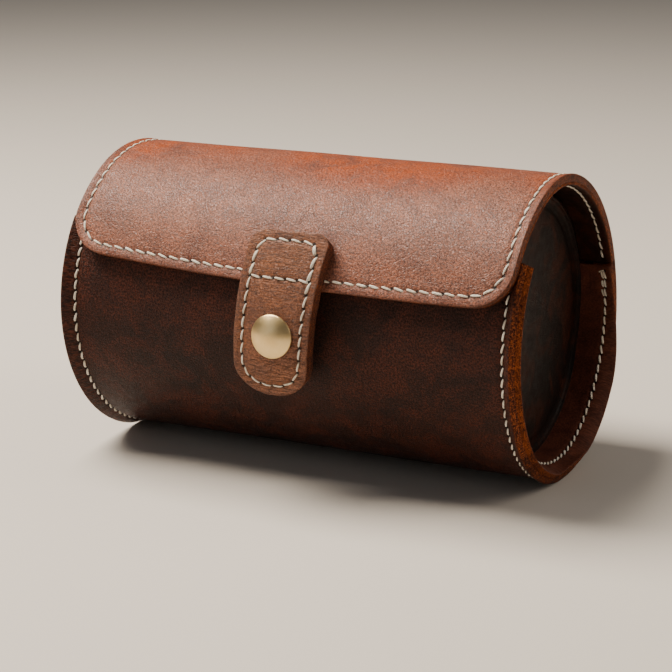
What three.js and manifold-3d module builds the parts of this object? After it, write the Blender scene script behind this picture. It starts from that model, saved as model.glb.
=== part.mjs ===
import * as THREE from "three";
import { mergeVertices } from "three/addons/utils/BufferGeometryUtils.js";
import Module from "manifold-3d";

// A horizontal leather cylinder with a flap lid, a snap tab and two recessed ends.
// Millimetres. X runs along the cylinder, -Y is the front, +Z is up.
// The origin is the middle of the flat strip that the case rests on.
// Angles are in degrees round the cylinder: 0 front, 90 top, 180 back, 270 bottom.

// Case body
const caseLength = 144;
const caseRadius = 44.4;
const footDrop = 2.2; // the flared rims make the underside stand this much lower
const footSpan = 60; // degrees either side of the bottom, where that fades out
const restRise = 2; // how far the flat resting strip cuts into the foot
const ovality = 1.4; // the soft walls sag into a slightly oval section
const ovalAngle = 207; // where the section is fullest, with the angle opposite
const hide = 2.4; // outer leather
const lining = 0.8;
const ply = 0.2; // room between glued layers
const mouthAngle = 37; // top edge of the front wall
const hingeAngle = 163; // where the lid starts to move
const cutGap = 0.3; // room between pieces on either side of a fold

// Recessed ends
const recess = 13.5;
const flangeProud = 1.5; // the end flange's edge stands out past the outer leather's edge
const facing = 1.2;
const board = 1.5;

// Lid
const lidClearance = 0.3; // room between the lid's lining and the front wall
const lipAngle = 20;
const lidCorner = 11;
const lidInset = 2.5; // the lid's side edges lie this far inside the flange edges

// Snap tab
const tabCentre = 1.9; // off the middle of the case, at the snap's height
const tabLean = 4; // degrees; the tab is sewn on slightly askew, its top towards +X
const tabWidth = 23.4;
const tabHide = 1.9;
const tabTopAngle = 36.2;
const tabTipAngle = -16.5;
const tabFoldAngle = 20.5;
const tabTopCorner = 4;
const tabTipCorner = 10.5;
const tabRelax = 1; // the free tip sinks this far towards the front wall
const tabRelaxAngle = -4; // where it starts to sink, below the snap

// Snap fastener
const snapAngle = 4;
const snapCentre = 2.5; // off the middle of the case
const capRadius = 6.25;
const capRim = 0.8;
const capDome = 0.9;
const postRadius = 1;
const postHead = 1.6;
const studFlange = 4.5;
const studEngage = 0.6; // how far the stud's nose stands into the socket
const studNose = 1.9;
const socketRadius = 4.6;
const socketDepth = 1.7;
const socketHole = 3.2;
const sheetMetal = 0.4;
const springWire = 0.22;
const metalGap = 0.3;

// Stitching
const threadRadius = 0.4;
const threadSink = 0.45; // the thread's centre lies this far under the leather's face
const threadRoom = 0.3; // between the thread and its groove
const rimInset = 4.3;
const lidStitchInset = 2.7;
const tabStitchInset = 2.8;

const threadEndAngle = 3; // a row of stitches stops this many degrees short of its leather's edge
const threadLead = 2; // a row runs straight for this far before it turns a corner

// Facets
const arcStep = 5;
const leastStep = 0.5; // degrees; no facet is narrower
const cornerSteps = 6;
const tubeSides = 6;
const wireSides = 5;
const wireStep = 20; // degrees
const capSegments = 24;
const fastenerSegments = 16;

const wasm = await Module();
wasm.setup();

const degree = Math.PI / 180;
const halfLength = caseLength / 2;
const axisHeight = caseRadius + footDrop - restRise;
const lidStandOff = lidClearance + lining + ply + hide;
const flangeDepth = recess + facing + ply + board + ply + lining;
const flangeOuter = hide + ply;
const flangeInner = flangeOuter + hide;
const discOffset = flangeInner + cutGap;
const lidReach = caseRadius + lidStandOff;
const tabInner = lidStandOff + ply;
const tabFaceInner = tabInner + tabHide + ply;
const tabOuter = tabFaceInner + tabHide;
const tabReach = caseRadius + tabOuter;
const tabSlope = Math.tan(tabLean * degree);
const cutterDepth = 4 * (hide + lining);

// ---- placing points round the section ----

function footAt(angle) {
  const fromBottom = Math.abs(THREE.MathUtils.euclideanModulo(angle + 270, 360) - 180);
  return footDrop * (1 - THREE.MathUtils.smoothstep(fromBottom, 0, footSpan));
}

function radiusAt(angle) {
  return caseRadius + ovality * Math.cos(2 * (angle - ovalAngle) * degree) + footAt(angle);
}

// A point of the section, `outward` from the outer leather's face, clipped by the resting strip.
function sectionPoint(angle, outward) {
  const r = radiusAt(angle) + outward;
  const z = Math.max(r * Math.sin(angle * degree), -axisHeight - outward);
  return new THREE.Vector2(-r * Math.cos(angle * degree), axisHeight + z);
}

function place(x, angle, outward) {
  const p = sectionPoint(angle, outward);
  return new THREE.Vector3(x, p.x, p.y);
}

// How far the lid's outer face stands out from the case's radius at an angle.
function lidRise(angle) {
  const t = THREE.MathUtils.smootherstep(hingeAngle - angle, 0, hingeAngle - mouthAngle);
  return lidStandOff * t;
}

function tabDrop(angle) {
  return -tabRelax * THREE.MathUtils.smoothstep(-angle, -tabRelaxAngle, -tabTipAngle);
}

// The tab's sideways shift at an angle, because it leans.
function tabShift(angle) {
  return tabSlope * Math.sin((angle - snapAngle) * degree) * tabReach;
}

function placeOnTab(x, angle, outward) {
  return place(x + tabShift(angle), angle, outward + tabDrop(angle));
}

// Stations from one angle to another on a shared grid, so stacked layers have parallel facets.
function stations(from, to) {
  const low = Math.min(from, to);
  const high = Math.max(from, to);
  const list = [low];
  const first = Math.ceil((low + leastStep) / arcStep) * arcStep;
  for (let a = first; a < high - leastStep; a += arcStep) {
    list.push(a);
  }
  list.push(high);
  return list;
}

// ---- solids ----

function toSolid(geometry) {
  const bare = geometry.clone();
  bare.deleteAttribute("normal");
  bare.deleteAttribute("uv");
  const merged = mergeVertices(bare, 1e-4);
  return new wasm.Manifold(
    new wasm.Mesh({
      numProp: 3,
      vertProperties: new Float32Array(merged.attributes.position.array),
      triVerts: new Uint32Array(merged.index.array),
    }),
  );
}

function toGeometry(solid) {
  const mesh = solid.getMesh();
  const geometry = new THREE.BufferGeometry();
  geometry.setAttribute("position", new THREE.BufferAttribute(mesh.vertProperties, 3));
  geometry.setIndex(new THREE.BufferAttribute(mesh.triVerts, 1));
  geometry.computeVertexNormals();
  return geometry;
}

function cut(geometry, ...cutters) {
  let solid = toSolid(geometry);
  for (const cutter of cutters) {
    solid = solid.subtract(toSolid(cutter));
  }
  return toGeometry(solid);
}

function alongX(shape, from, to) {
  const geometry = new THREE.ExtrudeGeometry(shape, { depth: to - from, bevelEnabled: false });
  const axes = new THREE.Matrix4().makeBasis(
    new THREE.Vector3(0, 1, 0),
    new THREE.Vector3(0, 0, 1),
    new THREE.Vector3(1, 0, 0),
  );
  return geometry.applyMatrix4(axes.setPosition(from, 0, 0));
}

// A curved sheet between two angles and two X stations. outer and inner say how far its faces
// stand out from the case's radius at an angle.
function curvedSheet(fromAngle, toAngle, outer, inner, fromX, toX) {
  const angles = stations(fromAngle, toAngle);
  const outside = angles.map((a) => sectionPoint(a, outer(a)));
  const inside = angles.map((a) => sectionPoint(a, inner(a))).reverse();
  return alongX(new THREE.Shape([...outside, ...inside]), fromX, toX);
}

function disc(inward, fromX, toX) {
  const points = [];
  for (let a = 0; a < 360; a += arcStep) {
    points.push(sectionPoint(a, -inward));
  }
  return alongX(new THREE.Shape(points), fromX, toX);
}

function circle(radius, sides) {
  const points = [];
  for (let k = 0; k < sides; k++) {
    const a = (2 * Math.PI * k) / sides;
    points.push(new THREE.Vector2(radius * Math.cos(a), radius * Math.sin(a)));
  }
  return new THREE.Shape(points);
}

function tube(points, radius, sides = tubeSides) {
  const path = new THREE.CatmullRomCurve3(points, false, "centripetal");
  return new THREE.ExtrudeGeometry(circle(radius, sides), {
    steps: points.length - 1,
    bevelEnabled: false,
    extrudePath: path,
  });
}

// Axes at a point of the section: X, along the surface, and straight out of it.
function outwardFrame(x, angle) {
  const along = new THREE.Vector3(1, 0, 0);
  const out = new THREE.Vector3(0, -Math.cos(angle * degree), Math.sin(angle * degree));
  const round = new THREE.Vector3().crossVectors(out, along);
  return { along, out, round, origin: new THREE.Vector3(x, 0, axisHeight) };
}

// A cutter that runs straight out of the case, from an outline drawn in X and along the surface.
function cutter(points, x, angle, from, depth) {
  const shape = new THREE.Shape(points.map(([across, along]) => new THREE.Vector2(across, along)));
  const frame = outwardFrame(x, angle);
  const geometry = new THREE.ExtrudeGeometry(shape, { depth, bevelEnabled: false });
  const axes = new THREE.Matrix4().makeBasis(frame.along, frame.round, frame.out);
  return geometry.applyMatrix4(axes.setPosition(frame.origin.addScaledVector(frame.out, from)));
}

// The waste outside a rounded corner. sideX and sideAngle point from the corner into the sheet.
// slope is how far a leaning side moves in X for each millimetre round the case.
function cornerWaste(x, angle, radius, reach, sideX, sideAngle, slope = 0) {
  const points = [[-radius, -radius], [radius, -radius]];
  for (let k = 0; k <= cornerSteps; k++) {
    const a = (-90 - (90 * k) / cornerSteps) * degree;
    points.push([radius + radius * Math.cos(a), radius + radius * Math.sin(a)]);
  }
  points.push([-radius, radius]);
  const middle = angle + (sideAngle * radius) / 2 / reach / degree;
  const shift = Math.sin((angle - middle) * degree) * reach;
  const outline = points.map(([across, along]) => [
    across * sideX + slope * along * sideAngle,
    along * sideAngle + shift,
  ]);
  return cutter(outline, x, middle, reach - cutterDepth / 2, cutterDepth);
}

// A turned piece, its axis straight out of the case at the snap. Profile points are radius and
// distance from the cylinder's axis.
function turned(profile, segments = fastenerSegments) {
  const points = profile.map(([r, h]) => new THREE.Vector2(r, h));
  return onSnapAxis(new THREE.LatheGeometry(points, segments));
}

function onSnapAxis(geometry) {
  const frame = outwardFrame(snapCentre, snapAngle);
  const axes = new THREE.Matrix4().makeBasis(frame.along, frame.out, frame.round.clone().negate());
  return geometry.applyMatrix4(axes.setPosition(frame.origin));
}

function snapHole(radius, from, to) {
  return turned([[0, from], [radius, from], [radius, to], [0, to]]);
}

// ---- nodes ----

const root = new THREE.Group();
root.name = "case";

function node(name, geometry, color, roughness, metalness = 0) {
  const material = new THREE.MeshStandardMaterial({ color, roughness, metalness });
  const mesh = new THREE.Mesh(geometry, material);
  mesh.name = name;
  root.add(mesh);
}

const darkLeather = 0x3a2016;
const lidLeather = 0x6b3f2c;
const tabLeather = 0x7a4426;
const liningSuede = 0x4a3226;
const greyBoard = 0x8c8478;
const thread = 0xe9dcc3;
const brass = 0xc9b37c;

const sheetStart = mouthAngle;
const sheetEnd = hingeAngle - 360 + cutGap / caseRadius / degree;
const wrapHalf = halfLength - flangeProud;
const snapRadius = radiusAt(snapAngle);
const postRoom = postRadius + metalGap;

// Rim stitching runs round each end from the mouth to the hinge. A groove runs on past its
// thread by `lead`.
function rimPath(side, outward, lead = 0) {
  const x = side * (halfLength - rimInset);
  const margin = threadEndAngle - lead / caseRadius / degree;
  const angles = stations(sheetStart - margin, sheetEnd + margin);
  return angles.map((a) => place(x, a, outward));
}

function wrapLeather() {
  const sheet = curvedSheet(sheetStart, sheetEnd, () => 0, () => -hide, -wrapHalf, wrapHalf);
  const groove = (side) => tube(rimPath(side, -threadSink, threadRoom), threadRadius + threadRoom);
  const grooves = [-1, 1].map(groove);
  const hole = snapHole(postRoom, snapRadius - 2 * hide, snapRadius + hide);
  return cut(sheet, ...grooves, hole);
}

function wrapLining() {
  const half = halfLength - flangeDepth - cutGap;
  const outer = -hide - ply;
  const sheet = curvedSheet(sheetStart, sheetEnd, () => outer, () => outer - lining, -half, half);
  return cut(sheet, snapHole(postRoom, snapRadius - 3 * hide, snapRadius));
}

node("wrap_leather", wrapLeather(), darkLeather, 0.6);
node("wrap_lining", wrapLining(), liningSuede, 0.9);

for (const [name, side] of [["left", -1], ["right", 1]]) {
  // Distances are measured inwards from the end's edge.
  const between = (near, far) => {
    const a = side * (halfLength - near);
    const b = side * (halfLength - far);
    return [Math.min(a, b), Math.max(a, b)];
  };
  const flange = curvedSheet(
    sheetStart,
    sheetEnd,
    () => -flangeOuter,
    () => -flangeInner,
    ...between(0, flangeDepth),
  );
  const boardAt = recess + facing + ply;
  const liningAt = boardAt + board + ply;
  node(`${name}_end_flange`, flange, darkLeather, 0.65);
  node(`${name}_end_facing`, disc(discOffset, ...between(recess, recess + facing)), darkLeather, 0.6);
  node(`${name}_end_board`, disc(discOffset, ...between(boardAt, boardAt + board)), greyBoard, 0.9);
  node(`${name}_end_lining`, disc(discOffset, ...between(liningAt, liningAt + lining)), liningSuede, 0.9);
  const inner = -flangeInner - threadRadius - ply;
  node(`${name}_rim_thread_outer`, tube(rimPath(side, -threadSink), threadRadius), thread, 0.7);
  node(`${name}_rim_thread_inner`, tube(rimPath(side, inner), threadRadius), thread, 0.7);
}

// Lid. Flat positions are X and the distance up from the lip.
const lidHalf = halfLength - lidInset;

function lidAngle(distance) {
  return lipAngle + distance / lidReach / degree;
}

// Down the right side of the lid, along its lip and up the left side.
function lidPath(outward, lead = 0) {
  const half = lidHalf - lidStitchInset;
  const top = hingeAngle - threadEndAngle + lead / lidReach / degree;
  const bend = lidCorner - lidStitchInset;
  const angles = stations(lidAngle(lidCorner + threadLead), top);
  const side = (x) => angles.map((a) => place(x, a, outward(a)));
  const corner = (centreX, from, to) => {
    const points = [];
    for (let k = 0; k <= cornerSteps; k++) {
      const a = (from + ((to - from) * k) / cornerSteps) * degree;
      const angle = lidAngle(lidCorner + bend * Math.sin(a));
      points.push(place(centreX + bend * Math.cos(a), angle, outward(angle)));
    }
    return points;
  };
  return [
    ...side(half).reverse(),
    ...corner(half - bend, 0, -90),
    ...corner(bend - half, -90, -180),
    ...side(-half),
  ];
}

function lidSheet(outer, inner) {
  const sheet = curvedSheet(lipAngle, hingeAngle, outer, inner, -lidHalf, lidHalf);
  const corners = [-1, 1].map((side) =>
    cornerWaste(side * lidHalf, lipAngle, lidCorner, lidReach, -side, 1),
  );
  return cut(sheet, ...corners);
}

const lidOuter = lidRise;
const lidInner = (a) => lidRise(a) - hide;
const lidLiningOuter = (a) => lidRise(a) - hide - ply;
const lidLiningInner = (a) => lidRise(a) - hide - ply - lining;

const lidThread = (a) => lidRise(a) - threadSink;
const lidGroove = tube(lidPath(lidThread, threadRoom), threadRadius + threadRoom);
node("flap_leather", cut(lidSheet(lidOuter, lidInner), lidGroove), lidLeather, 0.5);
node("flap_lining", lidSheet(lidLiningOuter, lidLiningInner), liningSuede, 0.9);
const lidThreadInside = (a) => lidLiningInner(a) - threadRadius - ply;
const insideAngles = [mouthAngle + threadEndAngle, hingeAngle - threadEndAngle];
node("flap_thread_outer", tube(lidPath(lidThread), threadRadius), thread, 0.7);
for (const [name, side] of [["left", -1], ["right", 1]]) {
  const x = side * (lidHalf - lidStitchInset);
  const run = stations(...insideAngles).map((a) => place(x, a, lidThreadInside(a)));
  node(`${name}_flap_thread_inner`, tube(run, threadRadius), thread, 0.7);
}

// Tab. Two layers cover the lid's edge; the anchor is sewn to the lid and the tongue swings.
const tabLeft = tabCentre - tabWidth / 2;
const tabRight = tabCentre + tabWidth / 2;
const foldGap = cutGap / tabReach / degree;
const tongueStart = tabFoldAngle - foldGap;

// The waste beside one side of the tab, which leans.
function sideWaste(side) {
  const near = (side * tabWidth) / 2;
  const far = side * tabWidth;
  const end = tabReach;
  const lean = tabSlope * end;
  const outline = [[near - lean, -end], [near + lean, end], [far + lean, end], [far - lean, -end]];
  return cutter(outline, tabCentre, snapAngle, caseRadius / 2, caseRadius);
}

function tabSheet(from, to, outer, inner, corner, edgeAngle, sideAngle) {
  const level = (outward) => (a) => outward + tabDrop(a);
  const room = tabWidth / 4;
  const blank = curvedSheet(from, to, level(outer), level(inner), tabLeft - room, tabRight + room);
  const shift = tabShift(edgeAngle);
  return cut(
    blank,
    sideWaste(-1),
    sideWaste(1),
    cornerWaste(tabLeft + shift, edgeAngle, corner, tabReach, 1, sideAngle, tabSlope),
    cornerWaste(tabRight + shift, edgeAngle, corner, tabReach, -1, sideAngle, tabSlope),
  );
}

function anchorSheet(outer, inner) {
  return tabSheet(tabFoldAngle, tabTopAngle, outer, inner, tabTopCorner, tabTopAngle, -1);
}

function tongueSheet(outer, inner) {
  return tabSheet(tabTipAngle, tongueStart, outer, inner, tabTipCorner, tabTipAngle, 1);
}

function tabArc(centreX, centreAngle, bend, from, to, outward) {
  const points = [];
  for (let k = 0; k <= cornerSteps; k++) {
    const a = (from + ((to - from) * k) / cornerSteps) * degree;
    const angle = centreAngle + (bend * Math.sin(a)) / tabReach / degree;
    points.push(placeOnTab(centreX + bend * Math.cos(a), angle, outward));
  }
  return points;
}

// Down one side of the tongue, round its tip and up the other side.
function tonguePath(outward, lead = 0) {
  const half = tabWidth / 2 - tabStitchInset;
  const bend = tabTipCorner - tabStitchInset;
  const centreAngle = tabTipAngle + tabTipCorner / tabReach / degree;
  const straight = threadLead / tabReach / degree;
  const top = tongueStart - straight / 2 + lead / tabReach / degree;
  const side = stations(centreAngle + straight, top);
  const level = (x, a) => placeOnTab(x, a, outward);
  return [
    ...side.map((a) => level(tabCentre - half, a)).reverse(),
    ...tabArc(tabCentre - half + bend, centreAngle, bend, -180, -90, outward),
    ...tabArc(tabCentre + half - bend, centreAngle, bend, -90, 0, outward),
    ...side.map((a) => level(tabCentre + half, a)),
  ];
}

// Round the box stitched through the anchor and the lid, stopping just short of its start.
function anchorPath(outward, lead = 0) {
  const half = tabWidth / 2 - tabStitchInset;
  const bend = tabTopCorner - threadRadius;
  const low = tabFoldAngle + (threadRadius + 2 * threadRoom) / tabReach / degree;
  const high = tabTopAngle - tabStitchInset / tabReach / degree;
  const centreAngle = high - bend / tabReach / degree;
  const level = (x, a) => placeOnTab(x, a, outward);
  const lowBend = threadRadius + 2 * threadRoom;
  const lowCentre = low + lowBend / tabReach / degree;
  return [
    level(tabCentre - half + 2 * lowBend - lead, low),
    level(tabCentre, low),
    ...tabArc(tabCentre + half - lowBend, lowCentre, lowBend, -90, 0, outward),
    ...tabArc(tabCentre + half - bend, centreAngle, bend, 0, 90, outward),
    ...tabArc(tabCentre - half + bend, centreAngle, bend, 90, 180, outward),
    level(tabCentre - half, lowCentre + threadRadius / tabReach / degree),
    level(tabCentre - half, lowCentre - lead / tabReach / degree),
  ];
}

const capHole = snapHole(postRoom, snapRadius, snapRadius + 2 * tabOuter);
const faceSink = tabOuter - threadSink;
const grooveRadius = threadRadius + threadRoom;
const tongueFace = tongueSheet(tabOuter, tabFaceInner);
const tongueBacking = tongueSheet(tabInner + tabHide, tabInner);
const anchorFace = anchorSheet(tabOuter, tabFaceInner);

const anchorGroove = tube(anchorPath(faceSink, threadRoom), grooveRadius);
const tongueGroove = tube(tonguePath(faceSink, threadRoom), grooveRadius);
node("tab_anchor_face", cut(anchorFace, anchorGroove), tabLeather, 0.55);
node("tab_anchor_backing", anchorSheet(tabInner + tabHide, tabInner), tabLeather, 0.6);
node("tab_anchor_thread", tube(anchorPath(faceSink), threadRadius), thread, 0.7);
node("tab_face", cut(tongueFace, tongueGroove, capHole), tabLeather, 0.55);
node("tab_backing", cut(tongueBacking, capHole), tabLeather, 0.6);
node("tab_thread_outer", tube(tonguePath(faceSink), threadRadius), thread, 0.7);
const tabThreadInside = tabInner - threadRadius - ply;
node("tab_thread_inner", tube(tonguePath(tabThreadInside), threadRadius), thread, 0.7);

// ---- snap fastener ----

const studBase = snapRadius + metalGap;
const tabBackAt = snapRadius + tabInner;
const sag = (radius, span) => span - Math.sqrt(span * span - radius * radius);
const socketTop = tabBackAt - sag(socketRadius, tabBackAt) - metalGap;
const socketBase = socketTop - socketDepth;
const studTop = socketBase + studEngage;
const capBase = snapRadius + tabOuter + metalGap;
const clinchTop = socketTop - sheetMetal - metalGap / 2;

// The stud's nose is hollow, and the post is set up into it through the wall and lining.
node(
  "snap_stud",
  turned([
    [postRoom, studBase],
    [studFlange, studBase],
    [studFlange, studBase + sheetMetal],
    [studNose - sheetMetal / 2, studBase + sheetMetal],
    [studNose, studTop - sheetMetal],
    [studNose - sheetMetal / 2, studTop],
    [postRoom, studTop],
    [postRoom, studBase],
  ]),
  brass,
  0.35,
  1,
);

const liningInside = snapRadius - hide - ply - lining;
const postFlangeTop = liningInside - sag(studFlange, liningInside) - metalGap;
node(
  "snap_stud_post",
  turned([
    [0, postFlangeTop - sheetMetal],
    [studFlange, postFlangeTop - sheetMetal],
    [studFlange, postFlangeTop],
    [postRadius, postFlangeTop],
    [postRadius, studTop - sheetMetal],
    [0, studTop - sheetMetal],
  ]),
  brass,
  0.4,
  1,
);

node(
  "snap_socket",
  turned([
    [postRoom, socketTop],
    [postRoom, socketTop - sheetMetal],
    [socketHole, socketTop - sheetMetal],
    [socketHole, socketBase],
    [socketRadius, socketBase],
    [socketRadius, socketTop],
    [postRoom, socketTop],
  ]),
  brass,
  0.4,
  1,
);

// A split ring of spring wire lies in the socket.
function socketSpring() {
  const points = [];
  const radius = socketHole - springWire - sheetMetal / 4;
  const height = socketBase + springWire + sheetMetal / 2;
  for (let a = wireStep; a < 360; a += wireStep) {
    points.push(new THREE.Vector3(radius * Math.cos(a * degree), height, radius * Math.sin(a * degree)));
  }
  return onSnapAxis(tube(points, springWire, wireSides));
}
node("snap_socket_spring", socketSpring(), brass, 0.4, 1);

// Domed cap with its post, which is clinched under the socket's plate.
function snapCap() {
  const profile = [
    [0, clinchTop - sheetMetal],
    [postHead, clinchTop - sheetMetal],
    [postHead, clinchTop],
    [postRadius, clinchTop],
    [postRadius, capBase],
    [capRadius - capRim / 4, capBase],
    [capRadius, capBase + capRim / 2],
    [capRadius - capRim / 4, capBase + capRim],
  ];
  for (let k = 1; k < cornerSteps; k++) {
    const t = k / cornerSteps;
    profile.push([(capRadius - capRim / 4) * (1 - t), capBase + capRim + capDome * (1 - (1 - t) ** 2)]);
  }
  profile.push([0, capBase + capRim + capDome]);
  return turned(profile, capSegments);
}
node("snap_cap", snapCap(), brass, 0.3, 1);

export default root;
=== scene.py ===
import math
import random

import bmesh
import bpy
from mathutils import Matrix, Vector, kdtree, noise


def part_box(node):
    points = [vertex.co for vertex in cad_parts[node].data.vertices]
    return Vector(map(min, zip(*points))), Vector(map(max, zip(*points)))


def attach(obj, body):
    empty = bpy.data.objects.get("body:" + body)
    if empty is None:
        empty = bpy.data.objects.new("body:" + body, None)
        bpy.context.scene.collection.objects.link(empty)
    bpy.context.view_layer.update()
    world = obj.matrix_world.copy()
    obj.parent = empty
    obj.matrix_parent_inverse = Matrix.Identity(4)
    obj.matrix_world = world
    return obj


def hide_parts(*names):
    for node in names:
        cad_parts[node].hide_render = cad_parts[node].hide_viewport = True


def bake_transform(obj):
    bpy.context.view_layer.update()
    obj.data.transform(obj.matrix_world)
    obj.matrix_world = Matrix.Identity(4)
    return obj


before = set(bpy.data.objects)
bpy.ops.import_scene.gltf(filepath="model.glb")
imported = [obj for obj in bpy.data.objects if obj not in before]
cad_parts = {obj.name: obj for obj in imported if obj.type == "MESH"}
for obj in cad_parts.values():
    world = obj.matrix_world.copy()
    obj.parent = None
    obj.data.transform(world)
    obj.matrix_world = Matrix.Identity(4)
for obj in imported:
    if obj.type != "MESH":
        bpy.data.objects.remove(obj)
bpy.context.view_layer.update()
print("frame loaded")

mm = 0.001
degree = math.pi / 180

# Camera.

cameraView = {
    "azimuth": 25.84,
    "elevation": 14.26,
    "distance": 601.7 * mm,
    "lens": 107.2,
    "shiftX": -0.0171,
    "shiftY": -0.0448,
}


def aimedFrom(azimuth, elevation):
    a = azimuth * degree
    e = elevation * degree
    return Vector((math.sin(a) * math.cos(e), -math.cos(a) * math.cos(e), math.sin(e)))


def addCamera(target):
    data = bpy.data.cameras.new("camera")
    data.sensor_width = 36
    data.lens = cameraView["lens"]
    data.shift_x = cameraView["shiftX"]
    data.shift_y = cameraView["shiftY"]
    data.clip_start = 0.01
    camera = bpy.data.objects.new("camera", data)
    back = aimedFrom(cameraView["azimuth"], cameraView["elevation"])
    camera.rotation_mode = "QUATERNION"
    camera.rotation_quaternion = (-back).to_track_quat("-Z", "Y")
    camera.location = target + back * cameraView["distance"]
    bpy.context.scene.collection.objects.link(camera)
    bpy.context.scene.camera = camera


# The case's section.
# Angles run round the cylinder in degrees: 0 front, 90 top, 180 back, 270 bottom.

section = {
    "radius": 44.4 * mm,
    "ovality": 1.4 * mm,
    "fullestAngle": 207,
    "axisRise": 0.2 * mm,  # the axis stands this much more than the radius above the table
    "waist": 0.2 * mm,  # the wall between the rims lies this far inside
    "rimFlare": 2.6 * mm,  # beyond the stitches the rims spread outwards
    "flareReach": 4.8 * mm,
    "cutSlant": {-1: 0.2, 1: 0.55},  # how far the cut edge leans outwards, by side
    "rimExtra": {-1: 1.7 * mm, 1: 0.2 * mm},
    "cutStart": 67.9 * mm,  # just outside the stitches
    "flareSweep": 52,  # degrees past the hinge over which a rim takes its full flare
    "closedFlare": 0.3,  # share of the flare that the rims have at the hinge
    "flareCurve": 1.25,
    "wobble": 0.28 * mm,  # the hide's slight unevenness
    "wobbleAlong": 24,
    "wobbleRound": 1.7,
    "restSoftness": 0.5 * mm,
    "restGap": 0.02 * mm,
    "mouthAngle": 37,
    "hingeAngle": 163,
    "lipAngle": 20,
}
hide = 2.4 * mm
ply = 0.05 * mm
liningThickness = 1.0 * mm
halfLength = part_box("right_end_flange")[1].x
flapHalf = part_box("flap_leather")[1].x
axisHeight = section["radius"] + section["axisRise"]
patternRadius = 46 * mm  # turns an angle into a length along the flat hide


def ease(t):
    t = min(max(t, 0.0), 1.0)
    return t * t * (3 - 2 * t)


def rimSpread(x):
    inward = abs(x) - halfLength + section["flareReach"]
    return max(0.0, inward / section["flareReach"]) ** section["flareCurve"]


def onSection(x, angle, outward, flare=1.0):
    a = angle * degree
    turn = Vector((0, math.cos(a), math.sin(a))) * section["wobbleRound"]
    bump = section["wobble"] * noise.noise(Vector((x * section["wobbleAlong"], turn.y, turn.z)))
    spread = rimSpread(x)
    r = section["radius"] + section["ovality"] * math.cos(2 * (a - section["fullestAngle"] * degree))
    r += outward + bump - section["waist"] + section["rimFlare"] * spread * flare
    z = r * math.sin(a)
    floor = -axisHeight - min(outward, 0) + section["restGap"]
    z = 0.5 * (z + floor + math.hypot(z - floor, section["restSoftness"]))
    return Vector((x, -r * math.cos(a), axisHeight + z))


def alongHide(angle):
    return angle * degree * patternRadius


def hideAngle(s):
    return s / patternRadius / degree


# A sheet is cut flat, with x across, y along the hide and z out of its face, and is then bent round.


def evenStations(low, high, step):
    count = max(1, round((high - low) / step))
    return [low + (high - low) * k / count for k in range(count + 1)]


def edgedStations(low, high, step, fine, band):
    edge = [0, cutEdge["firstStep"]]
    while edge[-1] + fine < band:
        edge.append(edge[-1] + fine)
    middle = evenStations(low + edge[-1], high - edge[-1], step)
    return [low + e for e in edge[:-1]] + middle + [high - e for e in reversed(edge[:-1])]


def roundCorner(x, s, centre, half, end, inward, radius):
    dx = abs(x - centre) - (half - radius)
    ds = radius - (s - end) * inward
    if radius <= 0 or dx <= 0 or ds <= 0:
        return x, s
    shrink = max(dx, ds) / math.hypot(dx, ds)
    side = 1 if x > centre else -1
    return centre + side * (half - radius + dx * shrink), end + inward * (radius - ds * shrink)


cutEdge = {
    "firstStep": 0.7 * mm,
    "bevel": 0.3 * mm,
    "gluedBevel": 0.06 * mm,
    "fade": 0.3 * mm,  # the raw colour comes in over this much of the thickness
    "band": 0.5 * mm,
    "farthest": 20 * mm,  # distances from the edge are counted up to this
}
pressed = {
    "near": 3 * mm,
    "skin": 0.3 * mm,
    "lineWidth": 1.0 * mm,
    "lineDepth": 0.26 * mm,
    "holeWidth": 0.62 * mm,
    "holeDepth": 0.3 * mm,
}
hair = 1e-6


def bell(distance, width):
    return math.exp(-((distance / width) ** 2))


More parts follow.
